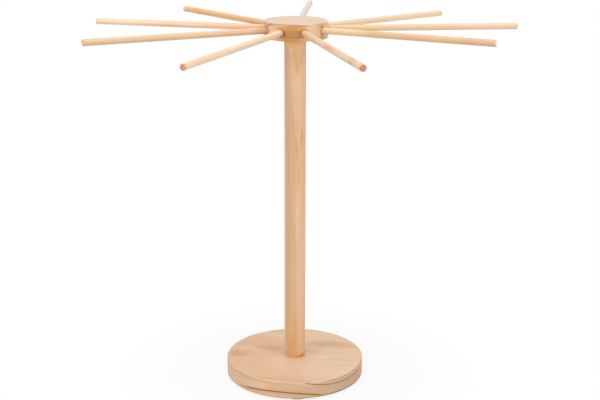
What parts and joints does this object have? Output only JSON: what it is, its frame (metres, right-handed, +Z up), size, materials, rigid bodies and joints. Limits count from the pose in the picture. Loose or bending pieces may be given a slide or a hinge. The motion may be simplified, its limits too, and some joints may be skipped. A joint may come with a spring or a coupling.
{
  "type": "pasta drying rack",
  "caption": "Wooden pasta drying rack: a round disc base, a dowel post and a round head with plug-in dowel arms that spread like spokes to hang fresh pasta on.",
  "frame": {"origin": "on the post's axis, at the surface that the rack stands on", "axes": "+Z up along the post, -Y towards the front of the pictured view, +X to its right"},
  "size_m": [0.4705, 0.4676, 0.414],
  "materials": {
    "base_pine": "matt, planed and sanded, bare",
    "post_pine": "matt, sanded, bare",
    "head_pine": "matt, planed and sanded, bare",
    "arm_pine": "matt, sanded, bare",
    "pivot_beech": "matt, bare",
    "screw_steel": "zinc plated",
    "pad_felt": "pressed felt"
  },
  "bodies": {
    "stand": {"base_disc": "base_pine", "post": "post_pine", "base_screw": "screw_steel", "foot_pad_1": "pad_felt", "foot_pad_2": "pad_felt", "foot_pad_3": "pad_felt"},
    "pivot": {"head_pivot": "pivot_beech"},
    "head": {"head_disc": "head_pine"},
    "arm_1": {"arm_1": "arm_pine"},
    "arm_2": {"arm_2": "arm_pine"},
    "arm_3": {"arm_3": "arm_pine"},
    "arm_4": {"arm_4": "arm_pine"},
    "arm_5": {"arm_5": "arm_pine"},
    "arm_6": {"arm_6": "arm_pine"},
    "arm_7": {"arm_7": "arm_pine"},
    "arm_8": {"arm_8": "arm_pine"},
    "arm_9": {"arm_9": "arm_pine"}
  },
  "joints": [
    {"name": "head_turn", "type": "hinge", "parent": "stand", "child": "pivot", "pos_m": [0, 0, 0.3955], "axis": [0, 0, 1], "continuous": true},
    {"name": "head_lift", "type": "slide", "parent": "pivot", "child": "head", "axis": [0, 0, 1], "range_m": [0, 0.03]},
    {"name": "arm_1_pull", "type": "slide", "parent": "head", "child": "arm_1", "axis": [-0.5835, 0.812, -0.0122], "range_m": [0, 0.04]},
    {"name": "arm_2_pull", "type": "slide", "parent": "head", "child": "arm_2", "axis": [-0.9578, 0.2874, -0.0059], "range_m": [-0.00162, 0.04]},
    {"name": "arm_3_pull", "type": "slide", "parent": "head", "child": "arm_3", "axis": [-0.9026, -0.4305, 0], "range_m": [-0.0021, 0.04]},
    {"name": "arm_4_pull", "type": "slide", "parent": "head", "child": "arm_4", "axis": [-0.4153, -0.9096, -0.0157], "range_m": [-0.00706, 0.04]},
    {"name": "arm_5_pull", "type": "slide", "parent": "head", "child": "arm_5", "axis": [0.2521, -0.9677, -0.0096], "range_m": [-0.00386, 0.04]},
    {"name": "arm_6_pull", "type": "slide", "parent": "head", "child": "arm_6", "axis": [0.8199, -0.572, 0.0227], "range_m": [-0.00402, 0.04]},
    {"name": "arm_7_pull", "type": "slide", "parent": "head", "child": "arm_7", "axis": [0.9981, 0.061, 0.0052], "range_m": [-0.0077, 0.04]},
    {"name": "arm_8_pull", "type": "slide", "parent": "head", "child": "arm_8", "axis": [0.7372, 0.6755, -0.0157], "range_m": [-0.00306, 0.04]},
    {"name": "arm_9_pull", "type": "slide", "parent": "head", "child": "arm_9", "axis": [0.0816, 0.9967, -0.0035], "range_m": [-0.0005, 0.04]}
  ]
}
